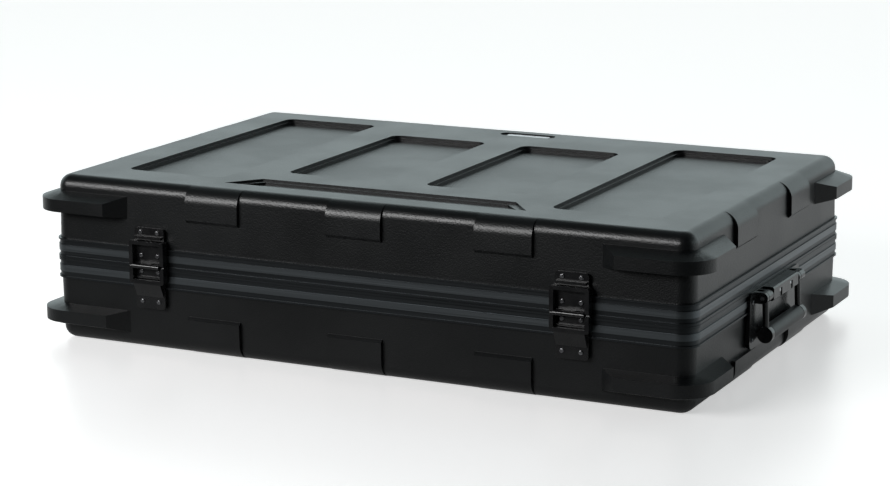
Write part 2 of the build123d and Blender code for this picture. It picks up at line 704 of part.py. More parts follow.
# Key latches: a keeper on the lid carries the hasp, which hangs over the lock plate on the base
latch_face = frame_seat + latch_plate_thickness
hasp_proud = latch_face + hasp_axis_proud
hasp_axis = parting + hasp_axis_rise
hasp_y = rim_depth / 2 + hasp_proud
hasp_back = latch_face + fit + knuckle_gap
for name, sign in sides:
    latch_x = sign * latch_pitch / 2
    latch_u = -latch_x
    barrel = Rotation(0, 90, 0)
    keeper_knuckle_xs = [
        latch_x + turn * (hasp_knuckle_length / 2 + knuckle_gap + keeper_knuckle_length / 2)
        for turn in (-1, 1)
    ]
    plate_low = lid_rim + 0.5
    plate_high = parting + latch_plate_reach
    pad_low = parting + ring_height + 1
    with BuildPart() as keeper:
        with BuildSketch(latch_plane(frame_seat)):
            with Locations((latch_u, (plate_low + plate_high) / 2)):
                RectangleRounded(latch_plate_width, plate_high - plate_low, latch_corner)
        extrude(amount=latch_plate_thickness)
        with BuildSketch(latch_plane(fit)):
            with Locations((latch_u, (pad_low + plate_high) / 2)):
                RectangleRounded(latch_plate_width - 2, plate_high - pad_low - 2, latch_corner - 1)
        extrude(amount=frame_seat)
        with Locations(*[(x, hasp_y, hasp_axis) for x in keeper_knuckle_xs]):
            Cylinder(hasp_barrel_radius, keeper_knuckle_length, rotation=barrel)
        with BuildSketch(latch_plane(latch_face - fit)):
            with Locations(*[(-x, hasp_axis) for x in keeper_knuckle_xs]):
                Rectangle(keeper_knuckle_length, 2 * hasp_barrel_radius)
        extrude(amount=hasp_axis_proud + fit)
        with Locations((latch_x, hasp_y, hasp_axis)):
            Cylinder(
                hasp_pin_radius + pin_clearance, 2 * hasp_width, rotation=barrel, mode=Mode.SUBTRACT
            )
        plate_rivet_holes(
            pair_points(latch_u, latch_rivet_pitch, latch_lid_levels), latch_plane, latch_face
        )
    save(keeper, f"latch_keeper_{name}")

    hasp_foot = parting - hasp_reach
    hasp_shoulder = hasp_axis - hasp_barrel_radius - knuckle_gap
    with BuildPart() as hasp:
        with BuildSketch(latch_plane(hasp_back)):
            with Locations((latch_u, (hasp_foot + hasp_shoulder) / 2)):
                RectangleRounded(hasp_width, hasp_shoulder - hasp_foot, latch_corner)
        extrude(amount=hasp_thickness)
        with BuildSketch(latch_plane(hasp_back)):
            with Locations((latch_u, (hasp_shoulder - latch_corner + hasp_axis) / 2)):
                Rectangle(hasp_knuckle_length, hasp_axis - hasp_shoulder + latch_corner)
        extrude(amount=hasp_thickness)
        with BuildSketch(latch_plane(hasp_back)):
            with Locations((latch_u, hasp_foot + hasp_lip_rise + hasp_lip / 2)):
                Rectangle(hasp_width - 2 * latch_corner, hasp_lip)
        extrude(amount=hasp_thickness + hasp_lip_proud)
        with Locations((latch_x, hasp_y, hasp_axis)):
            Cylinder(hasp_barrel_radius, hasp_knuckle_length, rotation=barrel)
            Cylinder(
                hasp_pin_radius + pin_clearance, 2 * hasp_width, rotation=barrel, mode=Mode.SUBTRACT
            )
    save(hasp, f"latch_hasp_{name}")

    with BuildPart() as hasp_pin:
        with Locations((latch_x, hasp_y, hasp_axis)):
            Cylinder(
                hasp_pin_radius,
                hasp_knuckle_length + 2 * (keeper_knuckle_length + knuckle_gap),
                rotation=barrel,
            )
    save(hasp_pin, f"latch_pin_{name}")

    plate_low = parting - latch_plate_reach
    plate_high = parting - 0.5
    pad_high = parting - ring_height - 1
    with BuildPart() as lock_plate:
        with BuildSketch(latch_plane(frame_seat)):
            with Locations((latch_u, (plate_low + plate_high) / 2)):
                RectangleRounded(latch_plate_width, plate_high - plate_low, latch_corner)
        extrude(amount=latch_plate_thickness)
        with BuildSketch(latch_plane(fit)):
            with Locations((latch_u, (plate_low + pad_high) / 2)):
                RectangleRounded(latch_plate_width - 2, pad_high - plate_low - 2, latch_corner - 1)
        extrude(amount=frame_seat)
        with BuildSketch(latch_plane(latch_face - fit)):
            with Locations((latch_u, parting - housing_drop - housing_height / 2)):
                RectangleRounded(housing_width - 12, housing_height, latch_corner)
        extrude(amount=housing_proud + fit)
        with BuildSketch(latch_plane(fit)):
            with Locations((latch_u, parting - key_drop)):
                Circle(key_barrel_radius + key_bore_clearance)
        extrude(amount=latch_face + housing_proud, mode=Mode.SUBTRACT)
        plate_rivet_holes(
            pair_points(latch_u, latch_rivet_pitch, latch_base_levels), latch_plane, latch_face
        )
    save(lock_plate, f"latch_lock_plate_{name}")

    head_seat = latch_face + housing_proud + fit
    with BuildPart() as key_cylinder:
        with BuildSketch(latch_plane(2 * fit)):
            with Locations((latch_u, parting - key_drop)):
                Circle(key_barrel_radius)
        extrude(amount=head_seat - 2 * fit)
        with BuildSketch(latch_plane(head_seat)):
            with Locations((latch_u, parting - key_drop)):
                Circle(key_head_radius)
            with Locations((latch_u + key_lobe_length / 2, parting - key_drop)):
                SlotOverall(key_lobe_length, key_lobe_width)
        extrude(amount=key_head_height)
        with BuildSketch(latch_plane(head_seat + key_head_height - 1)):
            with Locations((latch_u, parting - key_drop)):
                Rectangle(keyway_length, keyway_width)
        extrude(amount=1, mode=Mode.SUBTRACT)
    save(key_cylinder, f"key_cylinder_{name}")

latch_lid_rivets = rivets(latch_lid_points, latch_plane, latch_face)
save(latch_lid_rivets, "latch_lid_rivets")
latch_base_rivets = rivets(latch_base_points, latch_plane, latch_face)
save(latch_base_rivets, "latch_base_rivets")

# Bail handles, made for the right side and mirrored to the left
handle_face = frame_seat + handle_plate_thickness
handle_axis = parting - handle_axis_drop
handle_axis_x = rim_length / 2 + handle_face + handle_axis_proud
grip_z = parting - handle_grip_drop
grip_x = handle_axis_x + grip_lean
plate_top = parting - 0.5
plate_bottom = plate_top - handle_plate_height
eye_ys = [turn * handle_arm_offset for turn in (-1, 1)]
ear_offset = handle_eye_width / 2 + ear_gap + ear_width / 2
ear_ys = [y + turn * ear_offset for y in eye_ys for turn in (-1, 1)]
rod_length = 2 * (handle_arm_offset + ear_offset + ear_width / 2)
across = Rotation(90, 0, 0)
with BuildPart() as plate_right:
    with BuildSketch(handle_plane(frame_seat)):
        with Locations((0, (plate_top + plate_bottom) / 2)):
            RectangleRounded(handle_plate_width, handle_plate_height, handle_plate_corner)
    extrude(amount=handle_plate_thickness)
    backing_top = parting - ring_height - 1
    with BuildSketch(handle_plane(fit)):
        with Locations((0, (backing_top + plate_bottom) / 2)):
            RectangleRounded(
                handle_plate_width - 2, backing_top - plate_bottom - 2, handle_plate_corner - 1
            )
    extrude(amount=frame_seat)
    with BuildSketch(handle_plane(handle_face - fit)):
        with Locations(*[(y, handle_axis) for y in ear_ys]):
            Rectangle(ear_width, 2 * ear_round)
    extrude(amount=handle_axis_proud + fit)
    with Locations(*[(handle_axis_x, y, handle_axis) for y in ear_ys]):
        Cylinder(ear_round, ear_width, rotation=across)
    hood_top = parting - 0.5
    hood_low = parting - hood_drop
    hood_reach = handle_axis_proud + spring_coil_radius + 2
    with BuildSketch(handle_plane(handle_face - fit)):
        with Locations((0, (hood_top + hood_low) / 2)):
            Rectangle(2 * hood_half, hood_top - hood_low)
    extrude(amount=hood_reach + fit)
    fillet(
        plate_right.edges().filter_by(Axis.Y).filter_by_position(
            Axis.X, rim_length / 2 + handle_face + hood_reach - 0.1,
            rim_length / 2 + handle_face + hood_reach + 0.1
        ),
        3,
    )
    with BuildSketch(handle_plane(handle_face)):
        with Locations((0, (hood_top - hood_wall + hood_low) / 2)):
            Rectangle(2 * (hood_half - hood_wall), hood_top - hood_wall - hood_low)
        with Locations((0, hood_low)):
            Rectangle(2 * (hood_half - hood_wall), hood_wall)
    extrude(amount=hood_reach - hood_wall, mode=Mode.SUBTRACT)
    with BuildSketch(handle_plane(handle_face)):
        with Locations((-spring_offset, hood_low), (spring_offset, hood_low)):
            Rectangle(spring_window, 2 * (hood_drop - 6))
    extrude(amount=hood_reach + 1, mode=Mode.SUBTRACT)
    with Locations((handle_axis_x, 0, handle_axis)):
        Cylinder(
            handle_rod_radius + handle_rod_clearance,
            2 * handle_plate_width,
            rotation=across,
            mode=Mode.SUBTRACT,
        )
    plate_rivet_holes(handle_points, handle_plane, handle_face)

with BuildPart() as rod_right:
    with Locations((handle_axis_x, 0, handle_axis)):
        Cylinder(handle_rod_radius, rod_length, rotation=across)

grip_half = handle_arm_offset - knob_width / 2 - grip_end_gap
with BuildPart() as bail_right:
    with Locations(*[(handle_axis_x, y, handle_axis) for y in eye_ys]):
        Cylinder(handle_eye_radius, handle_eye_width, rotation=across)
    with Locations(*[(grip_x, y, grip_z) for y in eye_ys]):
        Cylinder(knob_radius, knob_width, rotation=across)
    for y in eye_ys:
        with BuildLine() as arm_line:
            Line((handle_axis_x, y, handle_axis), (grip_x, y, grip_z))
        with BuildSketch(Plane(origin=arm_line.line @ 0, z_dir=arm_line.line % 0)):
            Circle(handle_arm_radius)
        sweep(path=arm_line.line)
    with Locations((grip_x, 0, grip_z)):
        Cylinder(grip_core_radius, 2 * handle_arm_offset, rotation=across)
    with Locations((handle_axis_x, 0, handle_axis)):
        Cylinder(
            handle_rod_radius + handle_rod_clearance,
            2 * handle_plate_width,
            rotation=across,
            mode=Mode.SUBTRACT,
        )

with BuildPart() as grip_right:
    with Locations((grip_x, 0, grip_z)):
        Cylinder(grip_radius, 2 * grip_half, rotation=across)
    fillet(grip_right.edges(), 1.5)
    with Locations((grip_x, 0, grip_z)):
        Cylinder(grip_core_radius + fit, 2 * grip_half, rotation=across, mode=Mode.SUBTRACT)

with BuildPart() as springs_right:
    for y in (-spring_offset, spring_offset):
        for turn in range(spring_turns):
            coil_y = y + (turn - (spring_turns - 1) / 2) * spring_pitch
            with Locations((handle_axis_x, coil_y, handle_axis)):
                Torus(spring_coil_radius, spring_wire_radius, rotation=across)

rivets_right = rivets(handle_points, handle_plane, handle_face)

handle_pieces = (
    ("plate", plate_right),
    ("rod", rod_right),
    ("bail", bail_right),
    ("grip", grip_right),
    ("springs", springs_right),
    ("rivets", rivets_right),
)
for name, piece in handle_pieces:
    with BuildPart() as mirrored:
        mirror(piece.part, about=Plane.YZ)
    save(piece, f"handle_{name}_right")
    save(mirrored, f"handle_{name}_left")
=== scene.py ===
from math import cos, pi, radians, sin

import bmesh
import bpy
from mathutils import Matrix, Vector, noise


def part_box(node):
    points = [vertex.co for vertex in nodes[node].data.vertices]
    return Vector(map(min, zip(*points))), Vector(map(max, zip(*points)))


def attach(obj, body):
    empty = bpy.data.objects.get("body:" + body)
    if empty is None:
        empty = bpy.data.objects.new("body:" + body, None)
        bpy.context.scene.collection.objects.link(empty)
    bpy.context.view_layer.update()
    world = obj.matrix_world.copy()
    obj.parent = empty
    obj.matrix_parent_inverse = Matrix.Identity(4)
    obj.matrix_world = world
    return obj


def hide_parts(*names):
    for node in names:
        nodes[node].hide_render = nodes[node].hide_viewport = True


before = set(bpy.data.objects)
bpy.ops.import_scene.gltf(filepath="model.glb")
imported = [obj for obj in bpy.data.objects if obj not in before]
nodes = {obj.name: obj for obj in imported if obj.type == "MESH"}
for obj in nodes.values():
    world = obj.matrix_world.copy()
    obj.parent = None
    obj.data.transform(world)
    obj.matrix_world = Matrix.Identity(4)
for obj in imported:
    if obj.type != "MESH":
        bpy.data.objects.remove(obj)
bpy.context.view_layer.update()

scene = bpy.context.scene
scene.view_settings.view_transform = "Standard"


# The camera stands in front of the hinge side, to the right and a little above the lid.
# Its place and its long lens come from a fit to the straight edges of the rim frame.
camera_place = Vector((1.29583, -2.68709, 0.76338))
camera_yaw = 0.452968
camera_pitch = 0.217952
camera_roll = -0.004126
camera_lens = 100.73
camera_film = 36
camera_far_end = 50
ahead = Vector(
    (
        -sin(camera_yaw) * cos(camera_pitch),
        cos(camera_yaw) * cos(camera_pitch),
        -sin(camera_pitch),
    )
)
level_right = Vector((cos(camera_yaw), sin(camera_yaw), 0))
level_up = level_right.cross(ahead)
camera_right = cos(camera_roll) * level_right + sin(camera_roll) * level_up
camera_up = cos(camera_roll) * level_up - sin(camera_roll) * level_right
camera = bpy.data.objects.new("camera", bpy.data.cameras.new("camera"))
camera.data.sensor_fit = "HORIZONTAL"
camera.data.sensor_width = camera_film
camera.data.lens = camera_lens
camera.data.clip_end = camera_far_end
turn = Matrix((camera_right, camera_up, -ahead)).transposed()
camera.matrix_world = Matrix.Translation(camera_place) @ turn.to_4x4()
scene.collection.objects.link(camera)
scene.camera = camera


# The studio: a white sweep behind, darkness in front, and one long soft lamp above the front.
# The floor's mirrored light fades towards the front, so that the front walls see the dark room.
sweep_start = -0.25
sweep_full = 0.3
roof_start = 0.35
roof_end = 0.7
roof_light = 0.1
sweep_light = 1.2
dark_room_light = 0.015
cool_tint = (0.85, 0.985, 1.0)
white = (1.0, 1.0, 1.0)
floor_reach = 7.0
paper_shade = 0.8
paper_seen = (0.55, 0.55, 0.55)
paper_sheen = (0.42, 0.38, 0.37)
paper_sheen_roughness = 0.34
paper_glow = 0.5
far_glow_start = -0.35
far_glow_full = 0.25
far_glow = 0.45
near_dim_full = -0.75
near_dim_end = -0.1
near_dim = 0.77
lamp_length = 2.0
lamp_depth = 0.7
lamp_watts = 64
lamp_place = Vector((-1.15, -2.35, 1.2))
lamp_target = Vector((0, 0, 0.1))


def feed(tree, socket, value):
    """Links a socket to the one that is given, or sets it to a plain value."""
    if isinstance(value, bpy.types.NodeSocket):
        tree.links.new(value, socket)
    else:
        socket.default_value = value


def add_node(tree, kind, **settings):
    """A node with its settings and plain input values, or links from other sockets."""
    node = tree.nodes.new(kind)
    for key, value in settings.items():
        if hasattr(node, key) and key not in node.inputs:
            setattr(node, key, value)
        else:
            label = key if key in node.inputs else key.replace("_", " ")
            feed(tree, node.inputs[label], value)
    return node


def number(tree, operation, *values):
    """One arithmetic node on values or sockets."""
    node = tree.nodes.new("ShaderNodeMath")
    node.operation = operation
    for socket, value in zip(node.inputs, values):
        feed(tree, socket, value)
    return node.outputs[0]


def ramp_of(tree, value, low, high, at_low, at_high):
    """A smooth step between two levels of a value."""
    ramp = add_node(tree, "ShaderNodeMapRange", interpolation_type="SMOOTHSTEP", Value=value)
    for key, level in (
        ("From Min", low),
        ("From Max", high),
        ("To Min", at_low),
        ("To Max", at_high),
    ):
        ramp.inputs[key].default_value = level
    return ramp.outputs["Result"]


def colour_between(tree, share, first, second):
    """The first colour where the share is 0, and the second where it is 1."""
    blend = tree.nodes.new("ShaderNodeMix")
    blend.data_type = "RGBA"
    tree.links.new(share, blend.inputs[0])
    blend.inputs[6].default_value = (*first, 1)
    blend.inputs[7].default_value = (*second, 1)
    return blend.outputs[2]


def added(tree, first, second):
    """Two shaders added up."""
    total = tree.nodes.new("ShaderNodeAddShader")
    tree.links.new(first.outputs[0], total.inputs[0])
    tree.links.new(second.outputs[0], total.inputs[1])
    return total


world = bpy.data.worlds.new("studio")
world.use_nodes = True
scene.world = world
tree = world.node_tree
tree.nodes.clear()
way = tree.nodes.new("ShaderNodeTexCoord")
split = add_node(tree, "ShaderNodeSeparateXYZ", Vector=way.outputs["Generated"])
sweep = ramp_of(tree, split.outputs["Y"], sweep_start, sweep_full, 0.0, 1.0)
roof = ramp_of(tree, split.outputs["Z"], roof_start, roof_end, 1.0, roof_light)
lit = number(tree, "MULTIPLY", sweep, roof)
room = number(tree, "ADD", number(tree, "MULTIPLY", lit, sweep_light), dark_room_light)
to_camera = tree.nodes.new("ShaderNodeLightPath").outputs["Is Camera Ray"]
shown = add_node(tree, "ShaderNodeMix", data_type="FLOAT", Factor=to_camera)
tree.links.new(room, shown.inputs[2])
shown.inputs[3].default_value = 1.0
background = add_node(
    tree,
    "ShaderNodeBackground",
    Color=colour_between(tree, to_camera, cool_tint, white),
    Strength=shown.outputs[0],
)
add_node(tree, "ShaderNodeOutputWorld", Surface=background.outputs[0])

floor_mesh = bpy.data.meshes.new("floor")
floor_mesh.from_pydata(
    [(floor_reach * x, floor_reach * y, 0.0) for x, y in ((-1, -1), (1, -1), (1, 1), (-1, 1))],
    [],
    [(0, 1, 2, 3)],
)
floor = bpy.data.objects.new("floor", floor_mesh)
scene.collection.objects.link(floor)
paper = bpy.data.materials.new("white sweep")
paper.use_nodes = True
tree = paper.node_tree
tree.nodes.clear()
seen_diffuse = add_node(tree, "ShaderNodeBsdfDiffuse", Color=(*paper_seen, 1))
seen_glow = add_node(tree, "ShaderNodeEmission", Color=(*white, 1), Strength=paper_glow)
seen_sheen = add_node(
    tree, "ShaderNodeBsdfGlossy", Color=(*paper_sheen, 1), Roughness=paper_sheen_roughness
)
seen = added(tree, added(tree, seen_diffuse, seen_glow), seen_sheen)
place = tree.nodes.new("ShaderNodeTexCoord").outputs["Object"]
towards_back = add_node(tree, "ShaderNodeSeparateXYZ", Vector=place).outputs["Y"]
path = tree.nodes.new("ShaderNodeLightPath").outputs
far_part = ramp_of(tree, towards_back, far_glow_start, far_glow_full, 0.0, far_glow)
mirrored_glow = add_node(
    tree,
    "ShaderNodeEmission",
    Color=(*white, 1),
    Strength=number(tree, "MULTIPLY", far_part, path["Is Glossy Ray"]),
)
near_part = ramp_of(tree, towards_back, near_dim_full, near_dim_end, near_dim, 0.0)
dimmed = number(tree, "MULTIPLY", near_part, path["Is Glossy Ray"])
paper_diffuse = add_node(
    tree, "ShaderNodeBsdfDiffuse", Color=number(tree, "SUBTRACT", paper_shade, dimmed)
)
reflected = added(tree, paper_diffuse, mirrored_glow)
choice = tree.nodes.new("ShaderNodeMixShader")
direct = number(tree, "MAXIMUM", path["Is Camera Ray"], path["Is Transmission Ray"])
tree.links.new(direct, choice.inputs[0])
tree.links.new(reflected.outputs[0], choice.inputs[1])
tree.links.new(seen.outputs[0], choice.inputs[2])
add_node(tree, "ShaderNodeOutputMaterial", Surface=choice.outputs[0])
floor_mesh.materials.append(paper)

lamp_data = bpy.data.lights.new("front softbox", "AREA")
lamp_data.shape = "RECTANGLE"
lamp_data.size = lamp_length
lamp_data.size_y = lamp_depth
lamp_data.energy = lamp_watts
lamp = bpy.data.objects.new("front softbox", lamp_data)
lamp_aim = (lamp_target - lamp_place).to_track_quat("-Z", "Y")
lamp.matrix_world = Matrix.Translation(lamp_place) @ lamp_aim.to_matrix().to_4x4()
scene.collection.objects.link(lamp)
lamp.visible_camera = False


# Base shell: thermoformed polyethylene about 4 mm thick, with its saddle pads and bumpers in one.
# It is formed over a male tool, so every edge is soft and the outside keeps the sheet's pebble.
shell_ior = 1.45
pebble_smoothness = 0.6
colour_cloud = (0.35, 0.65)
gloss_cloud = (0.3, 0.7)
base_edge_round = 0.0012
weld_distance = 2e-6
flat_within = radians(0.6)
edge_above = radians(35)
crease_above = radians(60)


def finish(name, colour, roughness, metallic=0.0):
    """A new material, its tree, its shader and the object coordinates."""
    material = bpy.data.materials.new(name)
    material.use_nodes = True
    tree = material.node_tree
    shader = tree.nodes["Principled BSDF"]
    shader.inputs["Base Color"].default_value = (*colour, 1)
    shader.inputs["Roughness"].default_value = roughness
    shader.inputs["Metallic"].default_value = metallic
    place = tree.nodes.new("ShaderNodeTexCoord").outputs["Object"]
    return material, tree, shader, place


def grain(tree, place, scale, detail):
    """Height or share from cloudy noise."""
    return add_node(
        tree, "ShaderNodeTexNoise", Vector=place, Scale=scale, Detail=detail
    ).outputs[0]


def mottle(tree, shader, place, scale, dark, light):
    """Soft change of colour over the surface, between two shades."""
    share = ramp_of(tree, grain(tree, place, scale, detail=4.0), *colour_cloud, 0.0, 1.0)
    tree.links.new(colour_between(tree, share, dark, light), shader.inputs["Base Color"])


def vary_gloss(tree, shader, place, scale, smooth, rough):
    """Roughness that changes softly over the surface."""
    cloud = grain(tree, place, scale, detail=3.0)
    roughness = ramp_of(tree, cloud, *gloss_cloud, smooth, rough)
    tree.links.new(roughness, shader.inputs["Roughness"])


def emboss(tree, shader, heights, strength, depth):
    """Bump from a height socket, chained after any bump that is there already."""
    bump = add_node(
        tree, "ShaderNodeBump", Strength=strength, Distance=depth, Height=heights
    )
    if shader.inputs["Normal"].is_linked:
        tree.links.new(shader.inputs["Normal"].links[0].from_socket, bump.inputs["Normal"])
    tree.links.new(bump.outputs[0], shader.inputs["Normal"])


def pebble(tree, place, scale):
    """Height of rounded pebbles, as moulded haircell sheet has."""
    cells = add_node(tree, "ShaderNodeTexVoronoi", feature="SMOOTH_F1", Vector=place, Scale=scale)
    cells.inputs["Smoothness"].default_value = pebble_smoothness
    return number(tree, "SUBTRACT", 1.0, cells.outputs["Distance"])


def paint(piece, material):
    """Puts one material on every slot of a piece."""
    piece.data.materials.clear()
    piece.data.materials.append(material)


def evaluated_mesh(carrier):
    """The plain mesh that an object's modifiers give; the object itself is removed."""
    evaluated = carrier.evaluated_get(bpy.context.evaluated_depsgraph_get())
    mesh = bpy.data.meshes.new_from_object(evaluated)
    bpy.data.objects.remove(carrier)
    return mesh


def new_piece(name, mesh):
    """An object of this mesh, in the scene."""
    piece = bpy.data.objects.new(name, mesh)
    scene.collection.objects.link(piece)
    return piece


def soften(node, body, material, width, steps=2):
    """A closed copy of a CAD node with its edges rounded, which stands for that node."""
    form = bmesh.new()
    form.from_mesh(nodes[node].data)
    bmesh.ops.remove_doubles(form, verts=form.verts, dist=weld_distance)
    bmesh.ops.dissolve_limit(
        form, angle_limit=flat_within, verts=form.verts, edges=form.edges
    )
    mesh = bpy.data.meshes.new(node + "_form")
    form.to_mesh(mesh)
    form.free()
    sharp_form = new_piece(node + "_form", mesh)
    rounding = sharp_form.modifiers.new("rounding", "BEVEL")
    rounding.limit_method = "ANGLE"
    rounding.angle_limit = edge_above
    rounding.width = width
    rounding.segments = steps
    rounding.use_clamp_overlap = True
    even = sharp_form.modifiers.new("even", "WEIGHTED_NORMAL")
    even.keep_sharp = True
    for face in mesh.polygons:
        face.use_smooth = True
    mesh.set_sharp_from_angle(angle=crease_above)
    rounded = evaluated_mesh(sharp_form)
    rounded.name = node + "_shape"
    piece = new_piece(node + "_moulded", rounded)
    paint(piece, material)
    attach(piece, body)
    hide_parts(node)


shell_black, tree, shader, place = finish(
    "pebbled black polyethylene", colour=(0.0022, 0.0026, 0.003), roughness=0.3
)
shader.inputs["IOR"].default_value = shell_ior
mottle(
    tree, shader, place, scale=6.0, dark=(0.0018, 0.0022, 0.0025), light=(0.003, 0.0036, 0.004)
)
vary_gloss(tree, shader, place, scale=14.0, smooth=0.33, rough=0.37)
emboss(tree, shader, pebble(tree, place, scale=560.0), strength=0.4, depth=0.0004)
emboss(tree, shader, grain(tree, place, scale=1500.0, detail=2.0), strength=0.1, depth=0.0001)
soften("base_shell", "base", shell_black, base_edge_round)


# Lid shell: the same sheet and the same tool finish as the base, so it takes the same material.
# Its four stepped panels, the long tray and the label recess are formed in, never cut.
lid_edge_round = 0.0019
soften("lid_shell", "lid", shell_black, lid_edge_round, steps=3)


# Rim frames: two extruded aluminium rings, bent at the corners and joined on the latch side.
# Grey satin anodising shows the die's fine lines, which run along the extrusion.
rim_edge_round = 0.00025
rim_meeting_height = 0.10015
band_middle = 0.0124
band_inner_half = 0.0036
band_outer_half = 0.0041
die_line_scale = (3.0, 3.0, 2600.0)
rim_grey, tree, shader, place = finish(
    "grey anodised rim", colour=(0.085, 0.09, 0.094), roughness=0.36, metallic=1.0
)
levels = add_node(tree, "ShaderNodeMapping", Vector=place, Scale=die_line_scale).outputs[0]
emboss(tree, shader, grain(tree, levels, scale=1.0, detail=3.0), strength=0.2, depth=0.00005)
# The rim's colour is painted by height. The proud band on each half is lighter, a painted
# highlight, and the rest of the rim is darker, painted shade.
height = add_node(tree, "ShaderNodeSeparateXYZ", Vector=place).outputs["Z"]
from_parting = number(tree, "ABSOLUTE", number(tree, "SUBTRACT", height, rim_meeting_height))
from_band = number(tree, "ABSOLUTE", number(tree, "SUBTRACT", from_parting, band_middle))
painted_highlight_band = ramp_of(tree, from_band, band_inner_half, band_outer_half, 1.0, 0.0)
rim_painted_highlight_and_shade = colour_between(tree, painted_highlight_band, (0.042, 0.046, 0.049), (0.11, 0.122, 0.13))
tree.links.new(rim_painted_highlight_and_shade, shader.inputs["Base Color"])
vary_gloss(tree, shader, levels, scale=1.0, smooth=0.3, rough=0.44)
soften("base_rim_frame", "base", rim_grey, rim_edge_round)
soften("lid_rim_frame", "lid", rim_grey, rim_edge_round)


# Rim seal: a solid rubber cord, pressed into the groove of the base's frame.
# Its skin is dull, with a faint dusty bloom.
seal_black, tree, shader, place = finish(
    "seal rubber", colour=(0.02, 0.02, 0.021), roughness=0.7
)
mottle(tree, shader, place, scale=60.0, dark=(0.016, 0.016, 0.017), light=(0.03, 0.03, 0.031))
emboss(tree, shader, grain(tree, place, scale=900.0, detail=3.0), strength=0.3, depth=0.0001)
paint(nodes["rim_seal"], seal_black)


# Name plate: a blank plate of pale plastic, glued into the oblong recess near the latch side.
# It is smooth and glossy, with a faint lilac cast.
plate_edge_round = 0.0003
plate_gloss_coat = 0.5
plate_pale, tree, shader, place = finish(
    "pale glossy plate", colour=(0.82, 0.82, 0.87), roughness=0.22
)
mottle(tree, shader, place, scale=90.0, dark=(0.8, 0.8, 0.855), light=(0.84, 0.84, 0.885))
vary_gloss(tree, shader, place, scale=120.0, smooth=0.18, rough=0.28)
shader.inputs["Coat Weight"].default_value = plate_gloss_coat
soften("name_plate", "lid", plate_pale, plate_edge_round)


# Floor foam: a slab of charcoal open-cell foam, diced from above into blocks that can be plucked.
# Each block's top is a little rounded where the knife pulled the skin down.
block_pitch = 0.018
block_gap = 0.0007
block_crown = 0.0009
block_root = 0.001
block_unevenness = 0.0006
block_rim_share = 0.8
block_cells = 4
uncut_depth = 0.005
foam_seed = 4
foam_grey, tree, shader, place = finish(
    "charcoal open-cell foam", colour=(0.03, 0.031, 0.034), roughness=0.95
)
mottle(tree, shader, place, scale=25.0, dark=(0.024, 0.025, 0.028), light=(0.042, 0.043, 0.047))
shader.inputs["Sheen Weight"].default_value = 0.35
shader.inputs["Sheen Roughness"].default_value = 0.6
shader.inputs["Specular IOR Level"].default_value = 0.2
pores = add_node(tree, "ShaderNodeTexVoronoi", Vector=place, Scale=950.0)
emboss(tree, shader, pores.outputs["Distance"], strength=0.9, depth=0.0006)
emboss(tree, shader, grain(tree, place, scale=2200.0, detail=2.0), strength=0.5, depth=0.0003)


def geometry_tree(name, sizes):
    """A geometry tree with a named input for each size; also those sockets and its last node."""
    tree = bpy.data.node_groups.new(name, "GeometryNodeTree")
    for label, value in sizes.items():
        kind = "NodeSocketInt" if isinstance(value, int) else "NodeSocketFloat"
        socket = tree.interface.new_socket(label, in_out="INPUT", socket_type=kind)
        socket.default_value = value
    tree.interface.new_socket("Geometry", in_out="OUTPUT", socket_type="NodeSocketGeometry")
    entry = tree.nodes.new("NodeGroupInput")
    leave = tree.nodes.new("NodeGroupOutput")
    return tree, entry.outputs, leave


def vector_of(tree, x=0.0, y=0.0, z=0.0):
    """A vector from three values or sockets."""
    return add_node(tree, "ShaderNodeCombineXYZ", X=x, Y=y, Z=z).outputs[0]


def lead_out(tree, geometry, material, leave):
    """Makes any instances real, sets their material and ends the tree."""
    real = add_node(tree, "GeometryNodeRealizeInstances", Geometry=geometry)
    coloured = add_node(
        tree, "GeometryNodeSetMaterial", Geometry=real.outputs[0], Material=material
    )
    tree.links.new(coloured.outputs[0], leave.inputs[0])


def grown(name, tree, sizes, material):
    """A piece with the plain mesh that a geometry tree gives for these sizes."""
    carrier = new_piece(name + "_carrier", bpy.data.meshes.new(name + "_carrier"))
    modifier = carrier.modifiers.new(name, "NODES")
    modifier.node_group = tree
    for item in tree.interface.items_tree:
        if item.in_out == "INPUT":
            modifier[item.identifier] = sizes[item.name]
    piece = new_piece(name, evaluated_mesh(carrier))
    paint(piece, material)
    return piece


floor_low, floor_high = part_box("floor_foam")
floor_span = floor_high - floor_low
columns = int(floor_span.x / block_pitch)
rows = int(floor_span.y / block_pitch)
floor_sizes = {
    "Length": floor_span.x,
    "Depth": floor_span.y,
    "Pitch X": floor_span.x / columns,
    "Pitch Y": floor_span.y / rows,
    "Gap": block_gap,
    "Columns": columns,
    "Rows": rows,
    "Bottom": floor_low.z,
    "Top": floor_high.z,
    "Uncut": uncut_depth,
    "Block Start": uncut_depth - block_root,
    "Crown": block_crown,
    "Seed": foam_seed,
}
tree, size, leave = geometry_tree("diced foam", floor_sizes)
spread = add_node(
    tree,
    "GeometryNodeMeshGrid",
    Size_X=number(tree, "SUBTRACT", size["Length"], size["Pitch X"]),
    Size_Y=number(tree, "SUBTRACT", size["Depth"], size["Pitch Y"]),
    Vertices_X=size["Columns"],
    Vertices_Y=size["Rows"],
)
block_height = number(
    tree, "SUBTRACT", number(tree, "SUBTRACT", size["Top"], size["Bottom"]), size["Block Start"]
)
block_size = vector_of(
    tree,
    number(tree, "SUBTRACT", size["Pitch X"], size["Gap"]),
    number(tree, "SUBTRACT", size["Pitch Y"], size["Gap"]),
    block_height,
)
block = add_node(
    tree,
    "GeometryNodeMeshCube",
    Size=block_size,
    Vertices_X=block_cells,
    Vertices_Y=block_cells,
    Vertices_Z=2,
)
where = tree.nodes.new("GeometryNodeInputPosition")
spot = add_node(tree, "ShaderNodeSeparateXYZ", Vector=where.outputs[0]).outputs
